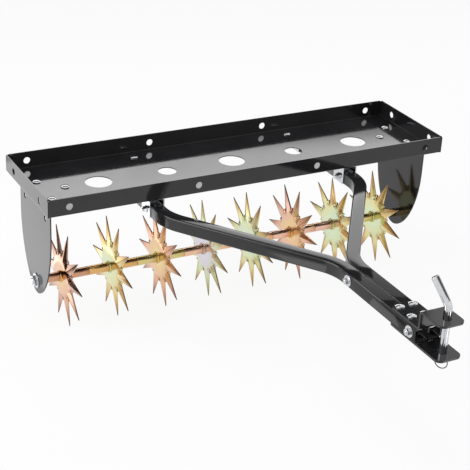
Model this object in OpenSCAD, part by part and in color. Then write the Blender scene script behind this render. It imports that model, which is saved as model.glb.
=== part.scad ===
// Tow behind aerator: a weight tray over a row of spiked stars, pulled by a two-arm drawbar.
// Millimetres. X runs along the tray, -Y points to the towing hitch and +Z is up.
// The origin is on the ground under the middle of the whole machine.

/* [Tray] */
// Length of the tray, wall to wall
tray_w = 1016; // [900:1:1300]
// Depth of the tray, front to back
tray_d = 271; // [250:1:320]
// Height of the tray walls over the underside of the floor
tray_h = 41; // [34:0.5:80]
// Gauge of the folded tray sheet
sheet_t = 2; // [1:0.1:2.5]
// Inner radius of the folds in the tray and the end plates
fold_in = 1; // [0.5:0.5:5]
// Open gap left at each corner of the tray
corner_gap = 0.5; // [0.4:0.1:3]
// Radius on the top corners of each wall
wall_corner_r = 5; // [3:0.5:10]
// Diameter of the strap holes in the walls
wall_hole_d = 16; // [8:0.5:20]
// Height of the strap holes over the underside of the floor
wall_hole_z = 19.5; // [16:0.5:24]
// Distance from the end of the tray to the nearest hole in a long wall
long_hole_inset = 49; // [30:1:150]
// Distance from the front or back of the tray to the nearest hole in an end wall
end_hole_inset = 52.5; // [30:0.5:90]
// Diameter of the three large floor holes
big_hole_d = 62; // [30:1:80]
// Distance from the end of the tray to the middle of the nearest large floor hole
big_hole_inset = 170; // [130:1:200]
// Diameter of the two small floor holes
small_hole_d = 43; // [20:1:60]
// Distance from the end of the tray to the middle of the nearest small floor hole
small_hole_inset = 340; // [310:1:350]

/* [End plates] */
// Gauge of the end plates
plate_t = 3; // [1.5:0.1:4]
// Distance from the end of the tray to the outside of an end plate
plate_inset = 19; // [14:0.5:22]
// Half the width of an end plate at its top
plate_half = 96; // [80:0.5:110]
// Height of the straight sides of an end plate
plate_straight = 75; // [50:1:100]
// Height of an end plate
plate_drop = 248; // [240:1:280]
// Length of the top flange under the tray floor
flange_len = 90; // [86:1:110]
// Half the width of the flange at its inner end
flange_nose = 24; // [18:1:40]
// Length of the flange's straight sides, next to its fold
flange_ledge = 6; // [2:1:20]
// Distance from an end plate to its single inner flange bolt
inner_bolt_inset = 71; // [60:1:74]
// Distance from an end plate to its pair of outer flange bolts
outer_bolt_inset = 22; // [21:1:30]
// Distance between the two outer flange bolts
outer_bolt_pitch = 98; // [80:1:120]
// Diameter of the two round holes near the top of the left plate
plate_hole_d = 13; // [6:0.5:16]
// Distance between those holes
plate_hole_pitch = 130; // [100:1:150]
// Depth of those holes below the tray floor
plate_hole_drop = 34; // [22:1:60]

/* [Axle] */
// Depth of the axle below the underside of the tray floor
axle_drop = 218.5; // [215:0.5:228]
// Diameter of the axle rod
axle_d = 15.9; // [12:0.1:20]
// Radial clearance of a hub tube on the rod
run_clear = 0.05; // [0.02:0.01:0.1]
// Radial clearance of the rod in the end plates
axle_hole_clear = 0.25; // [0.1:0.05:1]
// Outer diameter of the axle washers
axle_washer_d = 35; // [30:0.5:44]
// Gauge of the axle washers
axle_washer_t = 2.5; // [1.5:0.1:3]
// Width across the flats of the axle nuts
axle_nut_w = 24; // [23:0.5:30]
// Height of the axle nuts
axle_nut_h = 8; // [6:0.5:9]
// Length of the rod that stands out of each nut
axle_proud = 2.5; // [1:0.1:3]

/* [Stars] */
// Number of tines on a star
tines = 10; // [8:1:12]
// Radius of the tine points
tine_r = 119.8; // [100:0.1:125]
// Radius at the bottom of the valleys between tines
valley_r = 53; // [48:0.5:70]
// Radius at which the tine ridges start
root_r = 45; // [36:0.5:47]
// Radius of the small tabs that stand in the valleys
tab_r = 62; // [58:0.5:80]
// Width of those tabs
tab_w = 5; // [3:0.5:8]
// Half the depth of a star where its ridges start
star_half = 6.5; // [5:0.1:10]
// Half the depth of a star at its hub
hub_half = 7.5; // [6:0.1:12]
// Gauge of the stamped star halves
star_t = 1.8; // [1:0.1:2.5]
// Thickness of a half at the point of a tine
point_t = 0.8; // [0.4:0.1:1.5]
// Gap between the two halves of a star
half_gap = 0.1; // [0.05:0.05:0.3]
// Outer diameter of the hub tubes
tube_d = 21.3; // [20:0.1:26]
// Gap between the ends of neighbouring hub tubes
tube_gap = 0.7; // [0.6:0.1:2]
// Wall of the collar that is drawn up round the tube
collar_t = 3; // [1.5:0.1:5]
// Length of that collar
collar_len = 4; // [2:0.5:8]
// Radial clearance of a collar on its tube
collar_clear = 0.05; // [0.02:0.01:0.2]

/* [Drawbar] */
// Width and height of the square tube
arm_size = 30; // [24:0.5:34]
// Wall of the square tube
arm_wall = 2; // [1.5:0.1:3]
// Outer corner radius of the square tube
arm_corner = 4; // [3:0.5:6]
// Gap between the tray floor and the top of the arms
arm_drop = 15.5; // [15:0.5:22]
// Distance between the arms under the tray
arm_spread = 502; // [440:1:520]
// Angle of the two bends in an arm
arm_angle = 35; // [28:0.5:42]
// Radius of the bends on the centre line
arm_bend = 112; // [70:1:130]
// Distance from the front of the tray to the first bend's corner
arm_corner_reach = 41.5; // [41:0.5:60]
// Distance from the back of the tray to the end of an arm
arm_end_inset = 9.5; // [3:0.5:12]
// Length of the straight front ends, measured from the second bend's corner
arm_nose = 293; // [291:1:340]
// Gap between the two arms where they meet
arm_gap = 0.2; // [0.1:0.1:2]
// Distance from the second bend's corner to the rear joint bolt
rear_joint_reach = 56; // [50:1:100]
// Distance from the front of the arms to the front joint bolt
front_joint_inset = 19; // [15:1:20]

/* [Arm brackets] */
// Gauge of the brackets
bracket_t = 3; // [2:0.1:4]
// Length of a bracket along its arm
bracket_len = 42; // [36:1:50]
// Distance from the front of the tray to the bolts of the front brackets
bracket_inset = 28.5; // [22:0.5:40]
// Side gap between an arm and its bracket
bracket_clear = 0.3; // [0.1:0.1:0.8]
// Height of a bracket
bracket_drop = 44; // [43.5:0.5:52]
// Distance from the back of the tray to the bolts of the rear brackets
rear_inset = 33.5; // [33.5:0.5:45]
// Reach of the rear bracket's top leg, inwards from its arm
rear_reach = 46; // [42:1:60]

/* [Hitch] */
// Width of the hitch straps
strap_w = 57; // [52:0.5:60]
// Gauge of the hitch straps
strap_t = 5; // [4:0.5:6]
// Length of a strap on the arms
strap_seat = 86; // [86:1:100]
// Distance from the front of the arms to the strap bolts nearer the pin
front_strap_bolt_inset = 36; // [34:1:42]
// Distance from the front of the arms to the strap bolts farther from the pin
rear_strap_bolt_inset = 76; // [66:1:76]
// Height of the tongue's top over the underside of the tray floor
tongue_rise = 26; // [14:0.5:34]
// Inner radius of the strap's folds
strap_fold = 2; // [1.5:0.5:4]
// Distance from the front of the arms to the front of the tongue
tongue_reach = 72; // [68:1:100]
// Extra reach of the bottom strap
bottom_extra = 3; // [0:0.5:10]
// Corner radius of the straps
strap_corner = 13; // [6:0.5:16]
// Distance from the front of the arms to the pin
pin_reach = 49; // [42:0.5:55]
// Diameter of the hitch pin
pin_d = 16; // [12:0.5:16]
// Radial clearance of the pin in the straps
pin_clear = 0.4; // [0.3:0.1:1]
// Length of the pin above the tongue, up to its bend
pin_rise = 20; // [14:0.5:40]
// Length of the pin below the bottom strap
pin_tail = 12; // [12:0.5:20]
// Angle of the pin's handle from the vertical
handle_lean = 36.6; // [20:0.1:60]
// Direction of the handle in plan, from +X
handle_turn = 114; // [90:1:150]
// Radius of the bend in the pin
handle_bend = 24; // [18:0.5:40]
// Straight length of the handle
handle_len = 52; // [30:1:80]
// Depth of the cross hole for the ring below the bottom strap
ring_hole_drop = 5.5; // [5:0.5:6]
// Diameter of that hole
ring_hole_d = 6; // [5.9:0.1:6.2]
// Direction of that hole in plan, from +X
ring_turn = -60; // [-90:1:90]
// Mean radius of the wire ring
ring_r = 12.5; // [12.5:0.1:14]
// Diameter of the ring's wire
ring_wire = 2.2; // [1.8:0.1:2.2]

/* [Fasteners] */
// Diameter of the medium bolts
bolt_d = 8; // [6:0.5:8]
// Radial clearance of a bolt in its hole
bolt_clear = 0.25; // [0.1:0.05:0.5]
// Diameter of a round bolt head
dome_d = 19; // [15:0.5:20]
// Height of a round bolt head
dome_h = 4.5; // [3:0.1:6]
// Height of the straight rim of that head
dome_rim = 2; // [0.5:0.1:2.5]
// Width across the flats of the nuts
nut_w = 13; // [12:0.5:14]
// Height of the nuts
nut_h = 6.5; // [5:0.1:7]
// Height of the hex bolt heads
hex_h = 5.5; // [4:0.1:7]
// Length of bolt that stands out of its nut
bolt_proud = 2; // [1:0.1:3]
// Radial clearance between a nut and its bolt
thread_clear = 0.05; // [0.02:0.01:0.1]
// Outer diameter of the small washers, under the plates and beside the brackets
small_washer_d = 18; // [15:0.5:20]
// Outer diameter of the large washers, beside the joined arms
washer_d = 24; // [18:0.5:24]
// Gauge of the washers
washer_t = 1.6; // [1:0.1:2]

/* [Hidden] */
$fn = 64;
eps = 0.01;
// Each star's turn on the axle, as it came to rest: the angle of one tine from +Y towards +Z
star_turn = [34, 36, 33, 4.5, 3.5, 27.5, 6, 5];
star_count = len(star_turn);
tine_step = 360 / tines;
// Angle between straight down and the nearest tine of a star turned by a
function off_down(a) = let (m = abs((a + 90) % tine_step)) min(m, tine_step - m);
axle_z = tine_r * cos(min([for (a = star_turn) off_down(a)]));
floor_z = axle_z + axle_drop;

// Lengths along the drawbar, measured forwards from the middle of the tray
bracket_y = tray_d / 2 - bracket_inset;
rear_y = tray_d / 2 - rear_inset;
arm_corner_y = tray_d / 2 + arm_corner_reach;
arm_back = tray_d / 2 - arm_end_inset;
arm_x = arm_spread / 2;
nose_x = (arm_size + arm_gap) / 2;
arm_tangent = arm_bend * tan(arm_angle / 2);
nose_corner_y = arm_corner_y + (arm_x - nose_x) / tan(arm_angle);
arm_front = nose_corner_y + arm_nose;
hitch_front = arm_front + tongue_reach + bottom_extra;
tray_y = (hitch_front - tray_d / 2) / 2;
arm_mid_z = -arm_drop - arm_size / 2;
arm_low_z = -arm_drop - arm_size;
pin_y = -(arm_front + pin_reach);

bolt_r = bolt_d / 2;
bolt_hole_r = bolt_r + bolt_clear;
neck_w = bolt_d + 2 * bolt_clear;

tray_fold_r = fold_in + sheet_t;
plate_fold_r = fold_in + plate_t;
plate_x = tray_w / 2 - plate_inset;
plate_bolt_spots = [
    [plate_x - inner_bolt_inset, 0],
    [plate_x - outer_bolt_inset, outer_bolt_pitch / 2],
    [plate_x - outer_bolt_inset, -outer_bolt_pitch / 2]];

bracket_in = arm_size / 2 + bracket_clear;
bracket_out = bracket_in + bracket_t;
rear_in = arm_x - arm_size / 2 - bracket_t;
rear_bolt_x = rear_in - rear_reach / 2 - bracket_t;

strap_bolt_x = nose_x;
strap_bolt_ys = [arm_front - rear_strap_bolt_inset, arm_front - front_strap_bolt_inset];
strap_low_z = arm_low_z - strap_t;
joint_ys = [nose_corner_y + rear_joint_reach, arm_front - front_joint_inset];
ring_hole_z = strap_low_z - ring_hole_drop;
pin_low_z = strap_low_z - pin_tail;
ring_drop = ring_r - (ring_hole_d - ring_wire) / 2 + 0.3;

// The hub tubes fill the axle from plate to plate
star_pitch = 2 * (plate_x - plate_t) / star_count;
tube_len = star_pitch - tube_gap;
tube_bore_r = axle_d / 2 + run_clear;
collar_bore_r = tube_d / 2 + collar_clear;
axle_end = plate_x + axle_washer_t + axle_nut_h + axle_proud;

// Finishes
gloss_black = "#1c1c1e";
bright_zinc = "#c9ccd0";
yellow_zinc = "#c9a24e";

// Moves from the underside of the tray floor, at the middle of the tray, to the ground origin
module from_tray() {
    translate([0, tray_y, floor_z])
        children();
}

module on_both_sides() {
    children();
    mirror([1, 0, 0])
        children();
}

// A rectangle from low to high whose four corners have their own radii:
// low left, low right, high right, high left
module rounded_rect(low, high, r) {
    difference() {
        translate(low)
            square(high - low);
        corner_cut([low.x, low.y], [1, 1], r[0]);
        corner_cut([high.x, low.y], [-1, 1], r[1]);
        corner_cut([high.x, high.y], [-1, -1], r[2]);
        corner_cut([low.x, high.y], [1, -1], r[3]);
    }
}

module corner_cut(at, to, r) {
    if (r > 0)
        translate(at)
            scale([to.x, to.y])
                difference() {
                    translate([-eps, -eps])
                        square(r + eps);
                    translate([r, r])
                        circle(r);
                }
}

// Quarter of a flat ring between two radii, in the low left corner round its centre
module quarter_ring(r_in, r_out) {
    intersection() {
        difference() {
            circle(r_out);
            circle(r_in);
        }
        translate([-r_out - 1, -r_out - 1])
            square(r_out + 1);
    }
}

// Section of the tray's folded edge: the wall stands at x = 0, and the floor runs on from the fold
module fold_section() {
    translate([tray_fold_r, tray_fold_r])
        quarter_ring(fold_in, tray_fold_r);
    translate([0, tray_fold_r])
        square([sheet_t, tray_h - tray_fold_r]);
}

// One wall of the tray, standing at y = 0 and running along X for a length centred on x = 0,
// with a row of holes spread evenly over a span
module tray_wall(length, hole_span, holes) {
    difference() {
        rotate([90, 0, 90])
            linear_extrude(length, center = true)
                fold_section();
        for (side = [-1, 1])
            translate([side * length / 2, 0, tray_h])
                rotate([-90, 0, 0])
                    linear_extrude(2 * sheet_t, center = true)
                        corner_cut([0, 0], [-side, 1], wall_corner_r);
        for (i = [0:holes - 1])
            translate([(i / (holes - 1) - 1 / 2) * hole_span, 0, wall_hole_z])
                rotate([90, 0, 0])
                    cylinder(h = 4 * sheet_t, d = wall_hole_d, center = true);
    }
}

module square_hole(at) {
    translate([at.x, at.y, 0])
        cube([neck_w, neck_w, 4 * sheet_t], center = true);
}

module tray() {
    color(gloss_black)
        from_tray()
            difference() {
                union() {
                    translate([-tray_w / 2 + tray_fold_r, -tray_d / 2 + tray_fold_r, 0])
                        cube([tray_w - 2 * tray_fold_r, tray_d - 2 * tray_fold_r, sheet_t]);
                    for (turn = [0, 180])
                        rotate(turn) {
                            translate([0, -tray_d / 2, 0])
                                tray_wall(
                                    tray_w - 2 * (sheet_t + corner_gap),
                                    tray_w - 2 * long_hole_inset,
                                    4);
                            translate([tray_w / 2, 0, 0])
                                rotate(90)
                                    tray_wall(tray_d, tray_d - 2 * end_hole_inset, 2);
                        }
                }
                for (x = [-1, 0, 1])
                    translate([x * (tray_w / 2 - big_hole_inset), 0, 0])
                        cylinder(h = 4 * sheet_t, d = big_hole_d, center = true);
                for (x = [-1, 1])
                    translate([x * (tray_w / 2 - small_hole_inset), 0, 0])
                        cylinder(h = 4 * sheet_t, d = small_hole_d, center = true);
                on_both_sides() {
                    for (at = plate_bolt_spots)
                        square_hole(at);
                    square_hole([arm_x, -bracket_y]);
                    square_hole([rear_bolt_x, rear_y]);
                }
            }
}

// Outline of an end plate: straight sides, then a full rounded end
function plate_side(q) =
    let (fall = plate_drop - plate_straight)
    [plate_half * pow(max(cos(q), 0), 2 / 1.85), -plate_straight - fall * pow(sin(q), 2 / 1.85)];
plate_steps = 12;
plate_half_points = [for (i = [0:plate_steps]) plate_side(i * 90 / plate_steps)];
plate_points = concat(
    [[plate_half, -plate_fold_r]],
    plate_half_points,
    [for (i = [1:plate_steps]) let (p = plate_half_points[plate_steps - i]) [-p.x, p.y]],
    [[-plate_half, -plate_fold_r]]);

// The right end plate. Its flange is folded inwards and lies under the tray floor.
module end_plate() {
    difference() {
        union() {
            translate([plate_x - plate_t, 0, 0])
                rotate([90, 0, 90])
                    linear_extrude(plate_t)
                        polygon(plate_points);
            translate([plate_x - plate_fold_r, 0, -plate_fold_r])
                rotate([-90, 0, 0])
                    linear_extrude(2 * plate_half, center = true)
                        mirror([1, 0])
                            quarter_ring(fold_in, plate_fold_r);
            translate([plate_x - plate_fold_r, 0, -plate_t])
                linear_extrude(plate_t)
                    polygon([
                        [0, -plate_half],
                        [0, plate_half],
                        [-flange_ledge, plate_half],
                        [plate_fold_r - flange_len, flange_nose],
                        [plate_fold_r - flange_len, -flange_nose],
                        [-flange_ledge, -plate_half]]);
        }
        for (at = plate_bolt_spots)
            translate([at.x, at.y, 0])
                cylinder(h = 4 * plate_t, r = bolt_hole_r, center = true);
        translate([plate_x, 0, -axle_drop])
            rotate([0, 90, 0])
                cylinder(h = 4 * plate_t, r = axle_d / 2 + axle_hole_clear, center = true);
    }
}

module end_plate_right() {
    color(gloss_black)
        from_tray()
            end_plate();
}

// The left one is its mirror image, with two round holes more
module end_plate_left() {
    color(gloss_black)
        from_tray()
            mirror([1, 0, 0])
                difference() {
                    end_plate();
                    for (side = [-1, 1])
                        translate([plate_x, side * plate_hole_pitch / 2, -plate_hole_drop])
                            rotate([0, 90, 0])
                                cylinder(h = 4 * plate_t, d = plate_hole_d, center = true);
                }
}

// A turned bar along X with chamfered ends, from x = -half to x = half
module turned_bar(r, half, chamfer) {
    rotate([0, 90, 0])
        rotate_extrude()
            polygon([
                [0, -half],
                [r - chamfer, -half],
                [r, -half + chamfer],
                [r, half - chamfer],
                [r - chamfer, half],
                [0, half]]);
}

module axle_rod() {
    color(bright_zinc)
        from_tray()
            translate([0, 0, -axle_drop])
                turned_bar(axle_d / 2, axle_end, 1);
}

module axle_washers() {
    color(bright_zinc)
        from_tray()
            on_both_sides()
                translate([plate_x, 0, -axle_drop])
                    rotate([0, 90, 0])
                        washer(axle_washer_d, axle_d / 2 + axle_hole_clear, axle_washer_t);
}

module axle_nuts() {
    color(bright_zinc)
        from_tray()
            on_both_sides()
                translate([plate_x + axle_washer_t, 0, -axle_drop])
                    rotate([0, 90, 0])
                        hex_nut(axle_nut_w, axle_nut_h, axle_d / 2 + thread_clear);
}

// Places a star's own frame, whose axis is X, on the axle
module at_star(i) {
    from_tray()
        translate([(i - (star_count + 1) / 2) * star_pitch, 0, -axle_drop])
            rotate([star_turn[i - 1], 0, 0])
                children();
}

module hub_tube(i) {
    color(yellow_zinc)
        at_star(i)
            rotate([0, 90, 0])
                difference() {
                    cylinder(h = tube_len, d = tube_d, center = true);
                    cylinder(h = tube_len + 1, r = tube_bore_r, center = true);
                }
}

// One point of a star half: radius, angle round the axle and height off the middle plane
function star_point(r, a, h) = [h, r * cos(a), r * sin(a)];

// The rings of points that repeat for each tine, on the outer face or the inner face
function star_ring(lift, drop) = [for (k = [0:tines - 1])
    let (a = k * tine_step, v = a + tine_step / 2)
    let (tab_a = asin(tab_w / 2 / tab_r), floor_a = asin(tab_w / 2 / valley_r))
    each [
        star_point(collar_bore_r - 2, a, hub_half - drop),
        star_point(collar_bore_r - 2, v, hub_half - drop),
        star_point(root_r, a, star_half - drop),
        star_point(root_r, v, star_half - drop),
        star_point(tine_r, a, lift ? point_t : 0),
        star_point(valley_r, v - floor_a, star_t - drop),
        star_point(tab_r, v - tab_a, star_t - drop),
        star_point(tab_r, v + tab_a, star_t - drop),
        star_point(valley_r, v + floor_a, star_t - drop)]];

// The stamped shell of one half: ridges run from a round crown down to the tine points
module star_shell() {
    per = 9;
    total = per * tines;
    // Index of point p of tine k on the outer face; the inner face follows it
    function at(k, p) = (k % tines) * per + p;
    face = [for (k = [0:tines - 1]) each [
        [at(k, 0), at(k, 2), at(k, 3)],
        [at(k, 0), at(k, 3), at(k, 1)],
        [at(k, 1), at(k, 3), at(k + 1, 2)],
        [at(k, 1), at(k + 1, 2), at(k + 1, 0)],
        [at(k, 2), at(k, 4), at(k, 5)],
        [at(k, 2), at(k, 5), at(k, 3)],
        [at(k, 3), at(k, 5), at(k, 8)],
        [at(k, 5), at(k, 6), at(k, 7)],
        [at(k, 5), at(k, 7), at(k, 8)],
        [at(k, 3), at(k, 8), at(k + 1, 2)],
        [at(k, 8), at(k + 1, 4), at(k + 1, 2)]]];
    rim = [for (k = [0:tines - 1]) each [
        [at(k, 4), at(k, 5)],
        [at(k, 5), at(k, 6)],
        [at(k, 6), at(k, 7)],
        [at(k, 7), at(k, 8)],
        [at(k, 8), at(k + 1, 4)],
        [at(k, 1), at(k, 0)],
        [at(k + 1, 0), at(k, 1)]]];
    polyhedron(
        points = concat(star_ring(true, 0), star_ring(false, star_t)),
        faces = concat(
            [for (f = face) [f[2], f[1], f[0]]],
            [for (f = face) [f[0] + total, f[1] + total, f[2] + total]],
            [for (e = rim) each [[e[0], e[1], e[1] + total], [e[0], e[1] + total, e[0] + total]]]));
}

// The right half of a star, with its collar and its true bore
module star_half_plate() {
    translate([half_gap / 2, 0, 0])
        difference() {
            union() {
                star_shell();
                translate([hub_half - star_t, 0, 0])
                    rotate([0, 90, 0])
                        cylinder(h = star_t + collar_len, r = collar_bore_r + collar_t);
            }
            rotate([0, 90, 0])
                cylinder(h = 4 * (hub_half + collar_len), r = collar_bore_r, center = true);
        }
}

module star_right_half(i) {
    color(yellow_zinc)
        at_star(i)
            star_half_plate();
}

module star_left_half(i) {
    color(yellow_zinc)
        at_star(i)
            mirror([1, 0, 0])
                star_half_plate();
}

// Points round the section of a square tube, corner by corner
corner_steps = 3;
section_count = 4 * (corner_steps + 1);
function section_ring(half, r) = [for (k = [0:3], j = [0:corner_steps])
    let (a = 90 * k + 90 * j / corner_steps)
    let (side = (k == 0 || k == 3) ? 1 : -1, up = k < 2 ? 1 : -1)
    [side * (half - r) + r * cos(a), up * (half - r) + r * sin(a)]];

// Places along the centre line of the right arm, each with its x, its y and the tube's turn
bend_steps = 8;
arm_places = concat(
    [[arm_x, arm_back, 0]],
    [for (i = [0:bend_steps]) let (a = -arm_angle * i / bend_steps)
        [arm_x - arm_bend + arm_bend * cos(a), arm_tangent - arm_corner_y + arm_bend * sin(a), a]],
    [for (i = [0:bend_steps]) let (a = -arm_angle * (1 - i / bend_steps))
        [nose_x + arm_bend - arm_bend * cos(a), -arm_tangent - nose_corner_y - arm_bend * sin(a), a]],
    [[nose_x, -arm_front, 0]]);

// The square tube, carried along its places: an outer skin, an inner skin and two end rings
module arm_tube() {
    n = section_count;
    last = len(arm_places) - 1;
    outer = section_ring(arm_size / 2, arm_corner);
    inner = section_ring(arm_size / 2 - arm_wall, arm_corner - arm_wall);
    // Index of point p of the outer ring at place s; the inner ring follows it
    function at(s, p) = 2 * n * s + p % n;
    polyhedron(
        points = [for (c = arm_places, q = concat(outer, inner))
            [c.x + q.x * cos(c[2]), c.y + q.x * sin(c[2]), q.y]],
        faces = concat(
            [for (s = [0:last - 1], p = [0:n - 1]) each [
                [at(s, p), at(s, p + 1), at(s + 1, p)],
                [at(s, p + 1), at(s + 1, p + 1), at(s + 1, p)],
                [at(s, p + 1) + n, at(s, p) + n, at(s + 1, p) + n],
                [at(s + 1, p + 1) + n, at(s, p + 1) + n, at(s + 1, p) + n]]],
            [for (p = [0:n - 1]) each [
                [at(0, p + 1), at(0, p), at(0, p) + n],
                [at(0, p + 1), at(0, p) + n, at(0, p + 1) + n],
                [at(last, p), at(last, p + 1), at(last, p) + n],
                [at(last, p + 1), at(last, p + 1) + n, at(last, p) + n]]]));
}

// The right drawbar arm: straight under the tray, in to the middle, then straight to the hitch
module drawbar_arm() {
    difference() {
        translate([0, 0, arm_mid_z])
            arm_tube();
        for (y = [-bracket_y, rear_y])
            cross_hole(arm_x, y);
        for (y = joint_ys)
            cross_hole(nose_x, -y);
        for (y = strap_bolt_ys)
            translate([strap_bolt_x, -y, arm_mid_z])
                cylinder(h = 2 * arm_size, r = bolt_hole_r, center = true);
    }
}

// A bolt hole along X through a tube that is centred at x
module cross_hole(x, y) {
    translate([x, y, arm_mid_z])
        rotate([0, 90, 0])
            cylinder(h = arm_size + 2 * bracket_out, r = bolt_hole_r, center = true);
}

module drawbar_arm_right() {
    color(gloss_black)
        from_tray()
            drawbar_arm();
}

module drawbar_arm_left() {
    color(gloss_black)
        from_tray()
            mirror([1, 0, 0])
                drawbar_arm();
}

// An inverted U that hangs over the arm, with a bolt hole in its web and one through its ears
module front_bracket() {
    difference() {
        translate([arm_x, -bracket_y + bracket_len / 2, 0])
            rotate([90, 0, 0])
                linear_extrude(bracket_len)
                    difference() {
                        rounded_rect(
                            [-bracket_out, -bracket_drop],
                            [bracket_out, 0],
                            [0, 0, 2 * bracket_t, 2 * bracket_t]);
                        rounded_rect(
                            [-bracket_in, -bracket_drop - 1],
                            [bracket_in, -bracket_t],
                            [0, 0, bracket_t, bracket_t]);
                    }
        cross_hole(arm_x, -bracket_y);
        translate([arm_x, -bracket_y, 0])
            cylinder(h = 4 * bracket_t, r = bolt_hole_r, center = true);
    }
}

module front_bracket_right() {
    color(bright_zinc)
        from_tray()
            front_bracket();
}

module front_bracket_left() {
    color(bright_zinc)
        from_tray()
            mirror([1, 0, 0])
                front_bracket();
}

// An angle: its top leg is bolted under the tray floor and its side leg to the arm's inner face
module rear_angle() {
    difference() {
        translate([rear_in - rear_reach, rear_y + bracket_len / 2, 0])
            rotate([90, 0, 0])
                linear_extrude(bracket_len)
                    difference() {
                        rounded_rect(
                            [0, -bracket_drop],
                            [rear_reach + bracket_t, 0],
                            [0, 0, 2 * bracket_t, 0]);
                        rounded_rect(
                            [-1, -bracket_drop - 1],
                            [rear_reach, -bracket_t],
                            [0, 0, bracket_t, 0]);
                    }
        cross_hole(arm_x, rear_y);
        translate([rear_bolt_x, rear_y, 0])
            cylinder(h = 4 * bracket_t, r = bolt_hole_r, center = true);
    }
}

module rear_angle_right() {
    color(bright_zinc)
        from_tray()
            rear_angle();
}

module rear_angle_left() {
    color(bright_zinc)
        from_tray()
            mirror([1, 0, 0])
                rear_angle();
}

// A strap blank in plan, from the back of the seat to its front edge, with rounded front corners
module strap_plan(front) {
    back = arm_front - strap_seat;
    r = strap_corner;
    rounded_rect([-strap_w / 2, -front], [strap_w / 2, -back], [r, r, r / 2, r / 2]);
}

// Round holes for the strap bolts, and one that takes the pin
module strap_holes(z) {
    translate([0, 0, z]) {
        for (side = [-1, 1], y = strap_bolt_ys)
            translate([side * strap_bolt_x, -y, 0])
                cylinder(h = 4 * strap_t, r = bolt_hole_r, center = true);
        translate([0, pin_y, 0])
            cylinder(h = 4 * strap_t, r = pin_d / 2 + pin_clear, center = true);
    }
}

// Side view of the top strap: flat on the arms, up in front of them, then forwards as a tongue
module top_strap_side() {
    r_out = strap_fold + strap_t;
    seat = -arm_drop;
    rise = tongue_rise - strap_t;
    // The folds' centres, in front of the arms and along the strap
    low = [arm_front + 1, seat + r_out];
    high = [low.x + strap_t + 2 * strap_fold, rise - strap_fold];
    translate([arm_front - strap_seat, seat])
        square([low.x - arm_front + strap_seat, strap_t]);
    translate(low)
        mirror([1, 0])
            quarter_ring(strap_fold, r_out);
    translate([low.x + strap_fold, low.y])
        square([strap_t, high.y - low.y]);
    translate(high)
        mirror([0, 1])
            quarter_ring(strap_fold, r_out);
    translate([high.x, rise])
        square([arm_front + tongue_reach - high.x, strap_t]);
}

module hitch_top_strap() {
    color(gloss_black)
        from_tray()
            difference() {
                intersection() {
                    rotate([90, 0, -90])
                        linear_extrude(strap_w, center = true)
                            top_strap_side();
                    translate([0, 0, -arm_size])
                        linear_extrude(2 * arm_size + tongue_rise)
                            strap_plan(arm_front + tongue_reach);
                }
                strap_holes(-arm_drop);
                strap_holes(tongue_rise);
            }
}

module hitch_bottom_strap() {
    color(gloss_black)
        from_tray()
            difference() {
                translate([0, 0, strap_low_z])
                    linear_extrude(strap_t)
                        strap_plan(hitch_front);
                strap_holes(strap_low_z);
            }
}

// Half the length of the bands that join the pin's straight and bent stretches into one
// piece, and how far they stand proud
seam = 0.3;
seam_proud = 0.02;

// The pin: a straight shank with a chamfered end, one bend and a leaning handle
module hitch_pin() {
    r = pin_d / 2;
    shank = tongue_rise + pin_rise - pin_low_z;
    color(bright_zinc)
        from_tray()
            translate([0, pin_y, 0])
                difference() {
                    translate([0, 0, pin_low_z])
                        union() {
                            pin_end(r, shank);
                            translate([0, 0, shank])
                                rotate(handle_turn)
                                    pin_handle(r);
                        }
                    translate([0, 0, ring_hole_z])
                        rotate([0, 90, ring_turn])
                            cylinder(h = 2 * pin_d, d = ring_hole_d, center = true);
                }
}

// A round bar that stands on a chamfered end
module pin_end(r, length) {
    chamfer = r / 5;
    rotate_extrude()
        polygon([[0, 0], [r - chamfer, 0], [r, chamfer], [r, length], [0, length]]);
}

module bar_seam(r) {
    cylinder(h = 2 * seam, r = r + seam_proud, center = true);
}

// The bend and the handle, which leans towards +X
module pin_handle(r) {
    bar_seam(r);
    translate([handle_bend, 0, 0])
        rotate([-90, 0, 0])
            rotate(180)
                rotate_extrude(angle = handle_lean)
                    translate([handle_bend, 0])
                        circle(r);
    translate([handle_bend, 0, 0])
        rotate([0, handle_lean, 0])
            translate([-handle_bend, 0, 0]) {
                bar_seam(r);
                translate([0, 0, handle_len])
                    mirror([0, 0, 1])
                        pin_end(r, handle_len);
            }
}

module pin_ring() {
    color(bright_zinc)
        from_tray()
            translate([0, pin_y, ring_hole_z - ring_drop])
                rotate([90, 0, ring_turn])
                    rotate_extrude()
                        translate([ring_r, 0])
                            circle(d = ring_wire, $fn = 24);
}

// Fasteners, each standing on z = 0

module washer(d, hole_r, t) {
    difference() {
        cylinder(h = t, d = d);
        translate([0, 0, -1])
            cylinder(h = t + 2, r = hole_r);
    }
}

// A hexagon block with its outer corners turned off
module hex_block(w, h) {
    corner_r = w / 2 / cos(30);
    chamfer = (corner_r - w / 2) * 0.8;
    intersection() {
        cylinder(h = h, r = corner_r, $fn = 6);
        rotate_extrude()
            polygon([
                [0, 0],
                [corner_r, 0],
                [corner_r, h - chamfer / 2],
                [corner_r - chamfer, h],
                [0, h]]);
    }
}

module hex_nut(w, h, bore_r) {
    difference() {
        hex_block(w, h);
        translate([0, 0, -1])
            cylinder(h = h + 2, r = bore_r);
    }
}

module bolt_nut() {
    hex_nut(nut_w, nut_h, bolt_r + thread_clear);
}

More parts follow.
